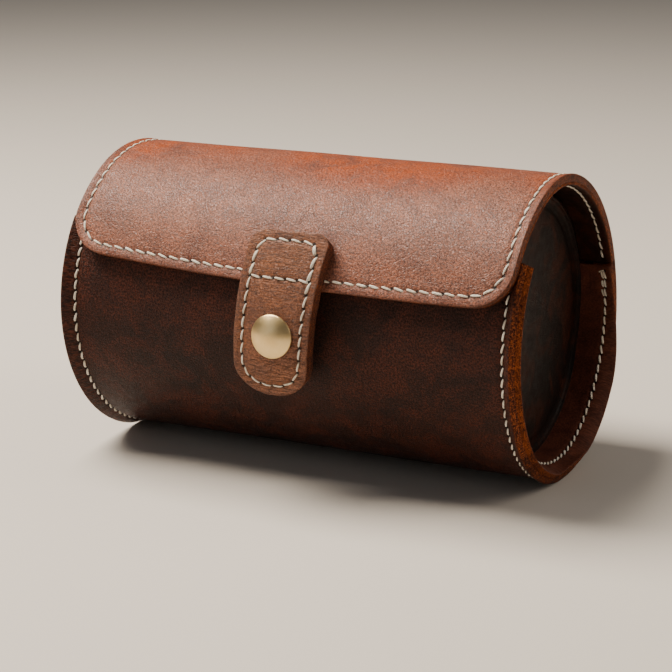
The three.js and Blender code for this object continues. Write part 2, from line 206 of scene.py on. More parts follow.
# One layer of leather or lining, cut flat.
class Sheet:
    def __init__(
        self, xs, ss, thickness, lowRadius=0, highRadius=0, openLow=False, openHigh=False, glued=0
    ):
        self.xs, self.ss = xs, ss
        self.thickness = thickness
        self.glued = glued  # -1 or 1 for the side that lies against another layer
        self.lowRadius, self.highRadius = lowRadius, highRadius
        self.openLow, self.openHigh = openLow, openHigh
        self.centre = (xs[0] + xs[-1]) / 2
        self.half = (xs[-1] - xs[0]) / 2
        self.bm = bmesh.new()
        self.cut()

    def cut(self):
        bm, xs, ss = self.bm, self.xs, self.ss
        across, along = len(xs) - 1, len(ss) - 1
        bmesh.ops.create_grid(bm, x_segments=across, y_segments=along, size=1)
        for v in bm.verts:
            x = xs[round((v.co.x + 1) / 2 * across)]
            s = ss[round((v.co.y + 1) / 2 * along)]
            x, s = roundCorner(x, s, self.centre, self.half, ss[0], 1, self.lowRadius)
            x, s = roundCorner(x, s, self.centre, self.half, ss[-1], -1, self.highRadius)
            v.co = (x, s, 0)
        bmesh.ops.solidify(bm, geom=bm.faces[:], thickness=self.thickness)
        bmesh.ops.recalc_face_normals(bm, faces=bm.faces[:])
        top = max(v.co.z for v in bm.verts)
        bmesh.ops.translate(bm, vec=(0, 0, -top), verts=bm.verts[:])
        sharp = [e for e in bm.edges if self.isOutline(e)]
        middle = -self.thickness / 2
        free = [e for e in sharp if (e.verts[0].co.z - middle) * self.glued <= 0]
        joined = [e for e in sharp if (e.verts[0].co.z - middle) * self.glued > 0]
        for edges, offset in ((free, cutEdge["bevel"]), (joined, cutEdge["gluedBevel"])):
            kept = [e for e in edges if e.is_valid]
            bmesh.ops.bevel(
                bm, geom=kept, offset=offset, segments=2, profile=0.5, affect="EDGES", material=-1
            )

    def isOutline(self, edge):
        if len(edge.link_faces) != 2:
            return False
        flat = [abs(f.normal.z) > 0.5 for f in edge.link_faces]
        if flat[0] == flat[1]:
            return False
        s = [v.co.y for v in edge.verts]
        if self.openLow and max(s) < self.ss[0] + hair:
            return False
        return not (self.openHigh and min(s) > self.ss[-1] - hair)

    def edgeDistance(self, x, s):
        far = 1.0
        low = self.ss[0] - (far if self.openLow else 0)
        high = self.ss[-1] + (far if self.openHigh else 0)
        radius = self.lowRadius if s < (self.ss[0] + self.ss[-1]) / 2 else self.highRadius
        qx = abs(x - self.centre) - (self.half - radius)
        qs = max(low - s, s - high) + radius
        outside = math.hypot(max(qx, 0), max(qs, 0)) + min(max(qx, qs), 0)
        return radius - outside

    # Presses the stitches in, bends the sheet and gives the object.
    def finish(self, name, place, material, stitches=(), tones=None, under=False):
        holes = nearTree([h for row in stitches for h in row["holes"]])
        lines = nearTree([p for row in stitches for p in row["line"]])
        flat, cut, edge, holeShade, tone = [], [], [], [], []
        for v in self.bm.verts:
            x, s, z = v.co
            gap = self.edgeDistance(x, s)
            flat.extend((x, s, z))
            edge.append(min(max(gap, 0), cutEdge["farthest"]))
            rim = 1.0 if self.glued == 1 else ease(-z / cutEdge["fade"])
            if self.glued != -1:
                rim *= ease((z + self.thickness) / cutEdge["fade"])
            cut.append(rim if gap < cutEdge["band"] else 0.0)
            tone.append(tones(x, s) if tones else 0.0)
            hole = 0.0
            if holes and (z > -pressed["skin"]) != under:
                onLine = lines.find((x, s, 0))[2]
                if onLine < pressed["near"]:
                    hole = bell(holes.find((x, s, 0))[2], pressed["holeWidth"])
                    dent = pressed["lineDepth"] * bell(onLine, pressed["lineWidth"])
                    dent += pressed["holeDepth"] * hole
                    z += dent if under else -dent
            # The hole mask is kept for the painted shade in the stitch holes.
            holeShade.append(hole)
            v.co = place(x, s, z)
        bmesh.ops.recalc_face_normals(self.bm, faces=self.bm.faces[:])
        obj = meshObject(name, self.bm, material)
        addAttribute(obj, "flat", "FLOAT_VECTOR", flat)
        addAttribute(obj, "cut", "FLOAT", cut)
        addAttribute(obj, "edgeDistance", "FLOAT", edge)
        addAttribute(obj, "holeShade", "FLOAT", holeShade)
        addAttribute(obj, "tone", "FLOAT", tone)
        return obj


def nearTree(points):
    if not points:
        return None
    tree = kdtree.KDTree(len(points))
    for i, (x, s) in enumerate(points):
        tree.insert((x, s, 0), i)
    tree.balance()
    return tree


def addAttribute(obj, name, kind, values):
    attribute = obj.data.attributes.new(name, kind, "POINT")
    attribute.data.foreach_set("vector" if kind == "FLOAT_VECTOR" else "value", values)


def meshObject(name, bm, material, smooth=True):
    mesh = bpy.data.meshes.new(name)
    bm.to_mesh(mesh)
    bm.free()
    obj = bpy.data.objects.new(name, mesh)
    bpy.context.scene.collection.objects.link(obj)
    mesh.materials.append(material)
    if smooth:
        mesh.shade_smooth()
    return obj


# Stitching.

stitching = {
    "width": 0.33 * mm,
    "height": 0.22 * mm,
    "slant": 0.26 * mm,
    "jitter": 0.12 * mm,
    "share": 0.44,  # half a strand's length as a share of the pitch
    "thinnest": 0.92,
    "thickest": 1.08,
    "fullness": 0.55,  # below 1 keeps a strand thick up to its ends
    "arch": 0.15 * mm,
    "dive": 0.34 * mm,  # how far the ends go down into their holes
    "sink": 0.2 * mm,  # how far the strands lie below the face
    "twist": 0.2 * mm,
    "lineStep": 0.5 * mm,
    "sides": 8,
}
stitchRandom = random.Random(11)


def arc(centreX, centreS, radius, start, end, steps=8):
    turn = [(start + (end - start) * k / steps) * degree for k in range(steps + 1)]
    return [(centreX + radius * math.cos(a), centreS + radius * math.sin(a)) for a in turn]


def resample(path, step):
    lengths = [math.dist(a, b) for a, b in zip(path, path[1:])]
    total = sum(lengths)
    count = max(1, round(total / step))
    points, walked, leg = [], 0.0, 0
    for k in range(count + 1):
        target = total * k / count
        while leg < len(lengths) - 1 and walked + lengths[leg] < target:
            walked += lengths[leg]
            leg += 1
        t = (target - walked) / lengths[leg]
        a, b = path[leg], path[leg + 1]
        points.append((a[0] + (b[0] - a[0]) * t, a[1] + (b[1] - a[1]) * t))
    return points


def stitchRow(path, pitch):
    return {"holes": resample(path, pitch), "line": resample(path, stitching["lineStep"])}


# Every strand of the rows as one object. level is the z of the leather's face.
def sewRows(name, rows, place, level, outwards, material, extras=()):
    bm = bmesh.new()
    flat = []
    pairs = [(a, b, 1.0) for row in rows for a, b in zip(row["holes"], row["holes"][1:])]
    for start, end, size in pairs + list(extras):
        addStrand(bm, flat, start, end, size, level, outwards)
    along = []
    for v, (a, b, c) in zip(bm.verts, flat):
        along.extend((a, b, c))
        v.co = place(*v.co)
    bmesh.ops.recalc_face_normals(bm, faces=bm.faces[:])
    obj = meshObject(name, bm, material)
    addAttribute(obj, "strand", "FLOAT_VECTOR", along)
    return obj


def addStrand(bm, flat, start, end, size, level, outwards):
    dx, ds = end[0] - start[0], end[1] - start[1]
    length = math.hypot(dx, ds)
    tx, ts = dx / length, ds / length
    slant = stitching["slant"] + stitchRandom.uniform(-1, 1) * stitching["jitter"]
    wide = stitching["width"] * size * stitchRandom.uniform(stitching["thinnest"], stitching["thickest"])
    tall = stitching["height"] * size
    half = length * stitching["share"]
    sides = stitching["sides"]
    ball = bmesh.ops.create_uvsphere(bm, u_segments=sides, v_segments=sides, radius=1)
    for v in ball["verts"]:
        across, up, lengthwise = v.co
        girth = math.hypot(across, up)
        full = girth ** stitching["fullness"] / girth if girth > hair else 0.0
        flat.append((lengthwise * half, math.atan2(up, across) * stitching["twist"], wide))
        side = across * full * wide - lengthwise * slant
        arch = stitching["arch"] * (1 - lengthwise * lengthwise)
        arch -= stitching["dive"] * lengthwise**4
        z = level + outwards * (up * full * tall + arch)
        x = (start[0] + end[0]) / 2 + tx * lengthwise * half - ts * side
        s = (start[1] + end[1]) / 2 + ts * lengthwise * half + tx * side
        v.co = (x, s, z)


# Materials.


# An sRGB hex colour as linear RGBA.
def tint(hexColour):
    parts = [int(hexColour[i : i + 2], 16) / 255 for i in (1, 3, 5)]
    linear = [c / 12.92 if c <= 0.04045 else ((c + 0.055) / 1.055) ** 2.4 for c in parts]
    return (*linear, 1.0)


def addNode(tree, kind, settings=None, inputs=None):
    node = tree.nodes.new(kind)
    for key, value in (settings or {}).items():
        setattr(node, key, value)
    for key, value in (inputs or {}).items():
        if isinstance(value, bpy.types.NodeSocket):
            tree.links.new(value, node.inputs[key])
        else:
            node.inputs[key].default_value = value
    return node


def newMaterial(name):
    material = bpy.data.materials.new(name)
    material.use_nodes = True
    material.node_tree.nodes.clear()
    return material, material.node_tree


def perMetre(sizeInMm):
    return 1 / (sizeInMm * mm)


# Oiled pull-up leather: waxy, soft sheen, colour that lightens where it is stretched or rubbed, with
# painted shade darkening the stitch holes and the crease lines.
def leather(name, look):
    material, tree = newMaterial(name)
    flat = addNode(tree, "ShaderNodeAttribute", {"attribute_name": "flat"}).outputs["Vector"]
    cut = addNode(tree, "ShaderNodeAttribute", {"attribute_name": "cut"}).outputs["Fac"]
    edge = addNode(tree, "ShaderNodeAttribute", {"attribute_name": "edgeDistance"}).outputs["Fac"]
    holeShade = addNode(tree, "ShaderNodeAttribute", {"attribute_name": "holeShade"}).outputs["Fac"]
    tone = addNode(tree, "ShaderNodeAttribute", {"attribute_name": "tone"}).outputs["Fac"]

    def noiseOf(size, detail, roughness, distortion=0.0, vector=flat):
        values = {"Vector": vector, "Scale": perMetre(size), "Detail": detail}
        values.update({"Roughness": roughness, "Distortion": distortion})
        return addNode(tree, "ShaderNodeTexNoise", None, values).outputs["Fac"]

    def ramp(value, low, high, bottom=0.0, top=1.0):
        values = {"Value": value, "From Min": low, "From Max": high, "To Min": bottom, "To Max": top}
        node = addNode(tree, "ShaderNodeMapRange", {"interpolation_type": "SMOOTHSTEP"}, values)
        return node.outputs["Result"]

    def blendColour(factor, a, b, kind="MIX"):
        settings = {"data_type": "RGBA", "blend_type": kind}
        return addNode(tree, "ShaderNodeMix", settings, {0: factor, 6: a, 7: b}).outputs[2]

    def sums(kind, a, b):
        return addNode(tree, "ShaderNodeMath", {"operation": kind}, {0: a, 1: b}).outputs[0]

    clouds = noiseOf(26, 4, 0.55, 0.6)
    patches = noiseOf(11, 5, 0.6, 1.0)
    mottle = noiseOf(2.6, 4, 0.65)
    speck = noiseOf(0.7, 2, 0.6)
    grit = noiseOf(0.62, 3, 0.7)

    colour = blendColour(ramp(clouds, 0.3, 0.7), tint(look["dark"]), tint(look["mid"]))
    lifted = blendColour(ramp(patches, 0.2, 0.85), tint(look["pulled"]), tint(look["pale"]))
    shown = sums("MULTIPLY", ramp(tone, 0.0, 1.0), ramp(clouds, 0.1, 0.6, 0.75, 1.0))
    colour = blendColour(shown, colour, lifted)
    rusty = sums("MULTIPLY", ramp(patches, 0.44, 0.62), look["rustAmount"])
    crest = ramp(tone, 1.0, 1.7)
    colour = blendColour(sums("MULTIPLY", crest, 0.45), colour, tint(look["gap"]))
    burnish = sums("MULTIPLY", crest, ramp(patches, 0.24, 0.62))
    colour = blendColour(sums("MAXIMUM", rusty, burnish), colour, tint(look["rust"]))
    rub = sums("MULTIPLY", ramp(edge, 2.6 * mm, 0.2 * mm), ramp(mottle, 0.35, 0.65, 0.35, 0.9))
    colour = blendColour(sums("MULTIPLY", rub, look["edgeRub"]), colour, tint(look["rubbed"]))
    hazy = sums("MULTIPLY", ramp(mottle, 0.3, 0.75, 0.0, look["mottle"]), ramp(tone, 0.0, 1.0, 0.12, 1.0))
    colour = blendColour(hazy, colour, tint(look["pale"]))
    colour = blendColour(ramp(speck, 0.5, 0.75, 0.0, look["speck"]), colour, tint(look["dark"]))
    ridges = noiseOf(look["creaseSize"], 3, 0.5, 1.2, addNode(
        tree, "ShaderNodeMapping", None, {"Vector": flat, "Scale": look["creaseStretch"]}
    ).outputs["Vector"])
    crease = ramp(sums("ABSOLUTE", sums("SUBTRACT", ridges, 0.5), 0.0), 0.0, 0.035)
    # Crease lines darkened in colour: painted shade in the creases.
    colour = blendColour(1.0, colour, ramp(crease, 0.0, 1.0, 1 - look["creaseShade"], 1.0), "MULTIPLY")
    # Stitch holes darkened to near black: painted shade in the holes.
    colour = blendColour(ramp(holeShade, 0.2, 0.75, 0.0, 0.95), colour, tint(look["hole"]))

    # Raw cut edge: loose fibres in rust and tan, darker where it is burnished.
    stretched = addNode(tree, "ShaderNodeMapping", None, {"Vector": flat, "Scale": (1, 1, 1.6)})
    fibres = noiseOf(0.8, 5, 0.8, 1.2, stretched.outputs["Vector"])
    blotch = noiseOf(4.5, 3, 0.6)
    raw = blendColour(ramp(fibres, 0.4, 0.6), tint(look["rawDark"]), tint(look["rawPale"]))
    raw = blendColour(ramp(blotch, 0.4, 0.7, 0.0, 0.55), raw, tint(look["rawDark"]))
    colour = blendColour(cut, colour, raw)
    grain = ramp(grit, 0.36, 0.64, 1 - look["grit"], 1 + look["grit"])
    colour = blendColour(1.0, colour, grain, "MULTIPLY")

    # Pores and creases of the grain, about half a millimetre apart.
    cells = addNode(
        tree,
        "ShaderNodeTexVoronoi",
        {"feature": "DISTANCE_TO_EDGE"},
        {"Vector": flat, "Scale": perMetre(look["grain"]), "Randomness": 1.0},
    )
    pores = ramp(cells.outputs["Distance"], 0.0, 0.16)
    soft = noiseOf(1.4, 4, 0.6)
    relief = sums("ADD", sums("MULTIPLY", pores, 0.5), sums("MULTIPLY", soft, 0.9))
    relief = sums("ADD", relief, sums("MULTIPLY", crease, look["crease"]))
    rawRelief = sums("MULTIPLY", fibres, 3.2)
    height = addNode(
        tree, "ShaderNodeMix", {"data_type": "FLOAT"}, {0: cut, 2: relief, 3: rawRelief}
    ).outputs[0]
    bump = addNode(
        tree,
        "ShaderNodeBump",
        None,
        {"Strength": look["bump"], "Distance": 0.16 * mm, "Height": height},
    )
    gloss = ramp(mottle, 0.25, 0.75, look["rough"] - 0.07, look["rough"] + 0.09)
    gloss = addNode(
        tree, "ShaderNodeMix", {"data_type": "FLOAT"}, {0: cut, 2: gloss, 3: 0.85}
    ).outputs[0]
    shader = addNode(
        tree,
        "ShaderNodeBsdfPrincipled",
        None,
        {
            "Base Color": colour,
            "Roughness": gloss,
            "IOR": 1.5,
            "Specular IOR Level": look["specular"],
            "Sheen Weight": look["sheen"],
            "Sheen Roughness": 0.45,
            "Sheen Tint": tint("#d8b8a4"),
            "Normal": bump.outputs["Normal"],
        },
    )
    addNode(tree, "ShaderNodeOutputMaterial", None, {"Surface": shader.outputs["BSDF"]})
    return material


hideLook = {
    "dark": "#160602",
    "mid": "#2c1006",
    "pulled": "#6d3a28",
    "pale": "#996650",
    "gap": "#5a240f",
    "rust": "#9c4206",
    "rustAmount": 0.2,
    "rubbed": "#5e2c1a",
    "edgeRub": 0.6,
    "mottle": 0.2,
    "speck": 0.5,
    "grit": 0.55,
    # Near-black painted shade for the stitch holes.
    "hole": "#0a0402",
    "rawDark": "#1c0702",
    "rawPale": "#8f461e",
    "grain": 0.62,
    "creaseSize": 9,
    "creaseStretch": (1, 1, 1),
    "crease": 0.3,
    "creaseShade": 0.0,
    "bump": 1.0,
    "rough": 0.42,
    "specular": 0.42,
    "sheen": 0.04,
}
# Darker copy of the hide's colours for the wall: painted shade on the front wall and base.
wallShadedLook = dict(
    hideLook,
    dark="#100402",
    mid="#290e05",
    rust="#64240a",
    rubbed="#4a2212",
    grit=0.8,
    specular=0.18,
    sheen=0.0,
    rough=0.48,
)
tabLook = dict(
    hideLook,
    dark="#4a200f",
    mid="#6c3a22",
    pulled="#7b4a33",
    pale="#a26c4c",
    rust="#94501f",
    rustAmount=0.3,
    rubbed="#5c2d18",
    edgeRub=0.4,
    creaseSize=1.7,
    creaseStretch=(0.25, 2.0, 1),
    crease=1.6,
    # Painted shade along the crease lines.
    creaseShade=0.4,
    grit=0.35,
    specular=0.35,
)
# Darker colours for the ends, the rims' insides and the flap's underside: partly a darker leather, partly
# painted shade for the recessed ends.
endShadedLook = dict(
    hideLook,
    dark="#0a0301",
    mid="#140602",
    pulled="#47231a",
    pale="#653a2c",
    rustAmount=0.05,
    rubbed="#4a2612",
    edgeRub=0.3,
    speck=0.2,
    grit=0.3,
    bump=0.5,
    rough=0.55,
    specular=0.12,
    sheen=0.0,
)


# Brushed microfibre lining: matte, short nap that catches light at a grazing angle.
def suede(name, colourA, colourB):
    material, tree = newMaterial(name)
    place = addNode(tree, "ShaderNodeTexCoord").outputs["Object"]
    nap = addNode(
        tree, "ShaderNodeTexNoise", None, {"Vector": place, "Scale": perMetre(0.5), "Detail": 4}
    )
    stroke = addNode(
        tree, "ShaderNodeTexNoise", None, {"Vector": place, "Scale": perMetre(14), "Detail": 3}
    )
    mixed = addNode(
        tree,
        "ShaderNodeMath",
        {"operation": "MULTIPLY_ADD"},
        {0: nap.outputs["Fac"], 1: 0.6, 2: stroke.outputs["Fac"]},
    )
    shade = addNode(
        tree, "ShaderNodeMapRange", None, {"Value": mixed.outputs[0], "From Min": 0.5, "From Max": 1.1}
    )
    colour = addNode(
        tree,
        "ShaderNodeMix",
        {"data_type": "RGBA"},
        {0: shade.outputs["Result"], 6: tint(colourA), 7: tint(colourB)},
    )
    bump = addNode(
        tree,
        "ShaderNodeBump",
        None,
        {"Strength": 0.5, "Distance": 0.15 * mm, "Height": nap.outputs["Fac"]},
    )
    shader = addNode(
        tree,
        "ShaderNodeBsdfPrincipled",
        None,
        {
            "Base Color": colour.outputs[2],
            "Roughness": 0.95,
            "Sheen Weight": 0.12,
            "Sheen Roughness": 0.5,
            "Sheen Tint": tint("#8a6a52"),
            "Normal": bump.outputs["Normal"],
        },
    )
    addNode(tree, "ShaderNodeOutputMaterial", None, {"Surface": shader.outputs["BSDF"]})
    return material


# Waxed braided polyester thread: cream, soft gloss, a twist about a millimetre long.
def waxedThread(name):
    material, tree = newMaterial(name)
    strand = addNode(tree, "ShaderNodeAttribute", {"attribute_name": "strand"}).outputs["Vector"]
    place = addNode(tree, "ShaderNodeTexCoord").outputs["Object"]
    twist = addNode(
        tree,
        "ShaderNodeTexWave",
        {"wave_type": "BANDS", "bands_direction": "DIAGONAL"},
        {"Vector": strand, "Scale": perMetre(3.4), "Distortion": 0.6, "Detail": 1},
    )
    dirt = addNode(
        tree, "ShaderNodeTexNoise", None, {"Vector": place, "Scale": perMetre(3), "Detail": 3}
    )
    stain = addNode(
        tree, "ShaderNodeMapRange", None, {"Value": dirt.outputs["Fac"], "From Min": 0.35, "From Max": 0.7}
    )
    colour = addNode(
        tree,
        "ShaderNodeMix",
        {"data_type": "RGBA"},
        {0: stain.outputs["Result"], 6: tint("#f6eedf"), 7: tint("#e2d2b8")},
    )
    grooves = addNode(
        tree, "ShaderNodeMapRange", None, {"Value": twist.outputs["Fac"], "To Min": 0.72, "To Max": 1.0}
    )
    shaded = addNode(
        tree,
        "ShaderNodeMix",
        {"data_type": "RGBA", "blend_type": "MULTIPLY"},
        {0: 1.0, 6: colour.outputs[2], 7: grooves.outputs["Result"]},
    )
    bump = addNode(
        tree,
        "ShaderNodeBump",
        None,
        {"Strength": 0.6, "Distance": 0.1 * mm, "Height": twist.outputs["Fac"]},
    )
    shader = addNode(
        tree,
        "ShaderNodeBsdfPrincipled",
        None,
        {
            "Base Color": shaded.outputs[2],
            "Roughness": 0.55,
            "Sheen Weight": 0.2,
            "Normal": bump.outputs["Normal"],
        },
    )
    addNode(tree, "ShaderNodeOutputMaterial", None, {"Surface": shader.outputs["BSDF"]})
    return material


# Plated brass, pressed and lightly worn: pale gold with fine handling scratches.
def agedBrass(name, colourA, colourB, rough):
    material, tree = newMaterial(name)
    place = addNode(tree, "ShaderNodeTexCoord").outputs["Object"]
    tarnish = addNode(
        tree, "ShaderNodeTexNoise", None, {"Vector": place, "Scale": perMetre(3.5), "Detail": 5}
    )
    colour = addNode(
        tree,
        "ShaderNodeMix",
        {"data_type": "RGBA"},
        {0: tarnish.outputs["Fac"], 6: tint(colourA), 7: tint(colourB)},
    )
    stretched = addNode(tree, "ShaderNodeMapping", None, {"Vector": place, "Scale": (0.3, 1, 2.2)})
    scratch = addNode(
        tree,
        "ShaderNodeTexNoise",
        None,
        {"Vector": stretched.outputs["Vector"], "Scale": perMetre(0.35), "Detail": 6, "Roughness": 0.7},
    )
    gloss = addNode(
        tree,
        "ShaderNodeMapRange",
        None,
        {
            "Value": scratch.outputs["Fac"],
            "From Min": 0.3,
            "From Max": 0.7,
            "To Min": rough - 0.07,
            "To Max": rough + 0.1,
        },
    )
    bump = addNode(
        tree,
        "ShaderNodeBump",
        None,
        {"Strength": 0.12, "Distance": 0.03 * mm, "Height": scratch.outputs["Fac"]},
    )
    shader = addNode(
        tree,
        "ShaderNodeBsdfPrincipled",
        None,
        {
            "Base Color": colour.outputs[2],
            "Metallic": 1.0,
            "Roughness": gloss.outputs["Result"],
            "Normal": bump.outputs["Normal"],
        },
    )
    addNode(tree, "ShaderNodeOutputMaterial", None, {"Surface": shader.outputs["BSDF"]})
    return material


hideLeather = leather("oiledPullUpLeather", hideLook)
wallShadedLeather = leather("oiledPullUpLeatherWallShaded", wallShadedLook)
tabLeather = leather("oiledPullUpLeatherTab", tabLook)
endShadedLeather = leather("smoothDarkLeatherShaded", endShadedLook)
liningSuede = suede("brushedMicrofibre", "#2b1a12", "#5a3b2a")
boardPulp = suede("compressedGreyBoard", "#3d3429", "#574c3d")
thread = waxedThread("waxedCreamThread")
capBrass = agedBrass("platedBrass", "#ead3a2", "#d2ad6a", 0.34)
print("materials made")

# The hide's front wall, base and back.

wrap = {
    "step": 1.5 * mm,
    "fine": 0.36 * mm,
    "band": 6 * mm,
    "along": 0.62 * mm,
    "rimInset": 2.0 * mm,
    "rimPitch": 3.35 * mm,
    "mouthMargin": 2 * mm,
    "hingeMargin": 2.5 * mm,
    "layerGap": 0.3 * mm,  # between the ends of the inner layers and what they meet
}
mouthS = alongHide(section["mouthAngle"])
hingeS = alongHide(section["hingeAngle"] - 360)
lipS = alongHide(section["lipAngle"] - 360)


def placeWall(depth):
    def place(x, s, z):
        side = 1 if x > 0 else -1
        spread = ease((s - hingeS) / alongHide(section["flareSweep"]))
        slant = section["cutSlant"][side] * (depth - z) + section["rimExtra"][side]
        slant *= ease((abs(x) - section["cutStart"]) / (flapHalf - section["cutStart"]))
        flare = section["closedFlare"] + (1 - section["closedFlare"]) * spread
        return onSection(x + side * slant * spread, hideAngle(s), z - depth, flare)

    return place


def rimRow(side):
    x = side * (flapHalf - wrap["rimInset"])
    ends = [(x, mouthS - wrap["mouthMargin"]), (x, hingeS + wrap["hingeMargin"])]
    return stitchRow(ends, wrap["rimPitch"])


rimRows = {side: rimRow(side) for side in (-1, 1)}


# Tone of the wall: kept low over the front and base as painted shade, a little higher towards the mouth,
# and rising at the back to the flap's tone at the hinge.
def wallShadedTone(x, s):
    angle = hideAngle(s)
    back = ease((-angle - 150) / 45)
    front = ease((angle - 5) / 30)
    return 0.12 + 0.75 * back + 0.1 * front


def makeWrap():
    xs = edgedStations(-flapHalf, flapHalf, wrap["step"], wrap["fine"], wrap["band"])
    sheet = Sheet(xs, evenStations(hingeS, mouthS, wrap["along"]), hide, openLow=True, glued=-1)
    obj = sheet.finish("hide_wall", placeWall(0), wallShadedLeather, list(rimRows.values()), wallShadedTone)
    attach(obj, "case")
    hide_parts("wrap_leather")


makeWrap()
print("hide wall made")

# The ends.

endPiece = {
    "recess": 13.5 * mm,
    "facing": 1.2 * mm,
    "board": 1.5 * mm,
    "rings": 30,
    "spokes": 120,
    "wallGap": 0.25 * mm,
    "fillet": 1.6 * mm,
    "filletRise": 0.8,
    "grooveAt": 2.6 * mm,
    "grooveWidth": 0.5 * mm,
    "grooveDepth": 0.35 * mm,
    "warp": 0.5 * mm,
    "warpScale": 38,
}
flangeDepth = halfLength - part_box("right_end_flange")[0].x
flangeInner = hide + ply + hide


def makeFlange(word, side):
    near, far = side * flapHalf, side * (halfLength - flangeDepth)
    xs = edgedStations(min(near, far), max(near, far), 0.9 * mm, 0.36 * mm, 5 * mm)
    sheet = Sheet(xs, evenStations(hingeS + wrap["layerGap"], mouthS, 0.66 * mm), hide, glued=1)
    place = placeWall(hide + ply)
    rows = [rimRows[side]]
    obj = sheet.finish(f"{word}_flange", place, endShadedLeather, rows, lambda x, s: 0.9, under=True)
    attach(obj, "case")
    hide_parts(f"{word}_end_flange")


def dishLift(fromEdge, point):
    turn = max(0.0, 1 - fromEdge / endPiece["fillet"])
    lift = endPiece["fillet"] * (1 - math.sqrt(max(0.0, 1 - turn * turn))) * endPiece["filletRise"]
    lift -= endPiece["grooveDepth"] * bell(fromEdge - endPiece["grooveAt"], endPiece["grooveWidth"])
    return lift + endPiece["warp"] * noise.noise(point * endPiece["warpScale"])


# A round panel. Its outer side is flat, or dished with its rim turned up.
def makeDisc(name, node, side, fromEnd, thickness, material, dished, slot):
    bm = bmesh.new()
    rings, spokes = endPiece["rings"], endPiece["spokes"]
    bmesh.ops.create_grid(bm, x_segments=rings, y_segments=spokes, size=1)
    middle = Vector((0, 0, axisHeight))
    for v in bm.verts:
        share = (v.co.x + 1) / 2
        angle = (v.co.y + 1) * 180
        edge = onSection(0, angle, -flangeInner - endPiece["wallGap"], 0)
        point = middle.lerp(edge, math.sin(share * math.pi / 2))
        fromEdge = (edge - point).length
        lift = dishLift(fromEdge, point) if dished else 0.0
        v.co = (side * (halfLength - fromEnd + lift), point.y, point.z)
    bmesh.ops.remove_doubles(bm, verts=bm.verts[:], dist=0.01 * mm)
    bmesh.ops.recalc_face_normals(bm, faces=bm.faces[:])
    if sum(f.normal.x for f in bm.faces) * side < 0:
        bmesh.ops.reverse_faces(bm, faces=bm.faces[:])
    bmesh.ops.solidify(bm, geom=bm.faces[:], thickness=thickness)
    bmesh.ops.recalc_face_normals(bm, faces=bm.faces[:])
    flat = [c for v in bm.verts for c in (v.co.y, v.co.z, v.co.x * side)]
    count = len(bm.verts)
    obj = meshObject(name, bm, material)
    addAttribute(obj, "flat", "FLOAT_VECTOR", flat)
    addAttribute(obj, "edgeDistance", "FLOAT", [cutEdge["farthest"]] * count)
    # The discs get tone 0, so they show the end look's near-black colours: painted shade for the recess.
    for plain in ("cut", "holeShade", "tone"):
        addAttribute(obj, plain, "FLOAT", [0.0] * count)
    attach(obj, "case")
    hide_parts(node)


def makeEnd(word, side):
    makeFlange(word, side)
    facing, board = endPiece["facing"], endPiece["board"]
    depth = endPiece["recess"]
    layers = (
        ("disc", "end_facing", facing, endShadedLeather, True, "end_leather"),
        ("board", "end_board", board, boardPulp, False, "grey_board"),
        ("inside", "end_lining", liningThickness, liningSuede, False, "suede_lining"),
    )
    for label, node, thickness, material, dished, slot in layers:
        makeDisc(f"{word}_{label}", f"{word}_{node}", side, depth, thickness, material, dished, slot)
        depth += thickness + ply


for word, side in (("left", -1), ("right", 1)):
    makeEnd(word, side)


def makeWrapLining():
    half = halfLength - flangeDepth - wrap["layerGap"]
    xs = edgedStations(-half, half, 3 * mm, 1 * mm, 3 * mm)
    ss = evenStations(hingeS + wrap["layerGap"], mouthS, 1.2 * mm)
    sheet = Sheet(xs, ss, liningThickness)
    obj = sheet.finish("wall_lining", placeWall(hide + ply), liningSuede)
    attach(obj, "case")
    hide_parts("wrap_lining")


makeWrapLining()
print("ends and lining made")

# The flap.

flap = {
    "corner": 11 * mm,
    "standOff": 3.7 * mm,
    "stitchInset": 2.7 * mm,
    "pitch": 3.72 * mm,
    "sag": 2.7,  # degrees that the lip rises towards the left end
    "lowestX": 30 * mm,
    "leftX": -41 * mm,
    "lipDrop": 0.7,
    "lipFlare": 0.2,
    "frontAngle": 55,
    "frontSweep": 20,
    "curl": 0.35 * mm,
    "curlReach": 6 * mm,
    "foot": 1.5 * mm,
    "foldStart": 163,
    "foldEnd": 143,
    "foldDepth": 1 * mm,
}
# The flap's worn crest: angles in degrees, tone from 0 dark to 2 burnished.
wornCrest = {"angle": 92, "width": 30, "usual": 0.7, "swing": 0.35, "waves": 75, "phase": 0.6}


def flapRise(angle):
    t = (section["hingeAngle"] - angle) / (section["hingeAngle"] - section["mouthAngle"])
    t = min(max(t, 0), 1)
    return flap["standOff"] * t * t * t * (t * (6 * t - 15) + 10)


def lipAt(x):
    share = (x - flap["lowestX"]) / (flap["leftX"] - flap["lowestX"])
    return section["lipAngle"] - flap["lipDrop"] + flap["sag"] * share * share


def placeFlap(depth):
    def place(x, s, z):
        u = (hingeS - s) / (hingeS - lipS)
        angle = section["hingeAngle"] - u * (section["hingeAngle"] - lipAt(x))
        front = ease((flap["frontAngle"] - angle) / flap["frontSweep"])
        curl = flap["curl"] * ease((flap["curlReach"] - (s - lipS)) / flap["curlReach"])
        flare = section["closedFlare"] + flap["lipFlare"] * front
        return onSection(x, angle, flapRise(angle) + z - depth + curl, flare)

    return place


def flapPath(half, corner, inset, foot):
    right = half - inset
    bend = corner - inset
    top = hingeS - foot
    path = [(right, top)]
    path += arc(right - bend, lipS + corner, bend, 0, -90)
    path += arc(-right + bend, lipS + corner, bend, -90, -180)
    return path + [(-right, top)]


flapLine = flapPath(flapHalf, flap["corner"], flap["stitchInset"], flap["foot"])
flapRow = stitchRow(flapLine, flap["pitch"])


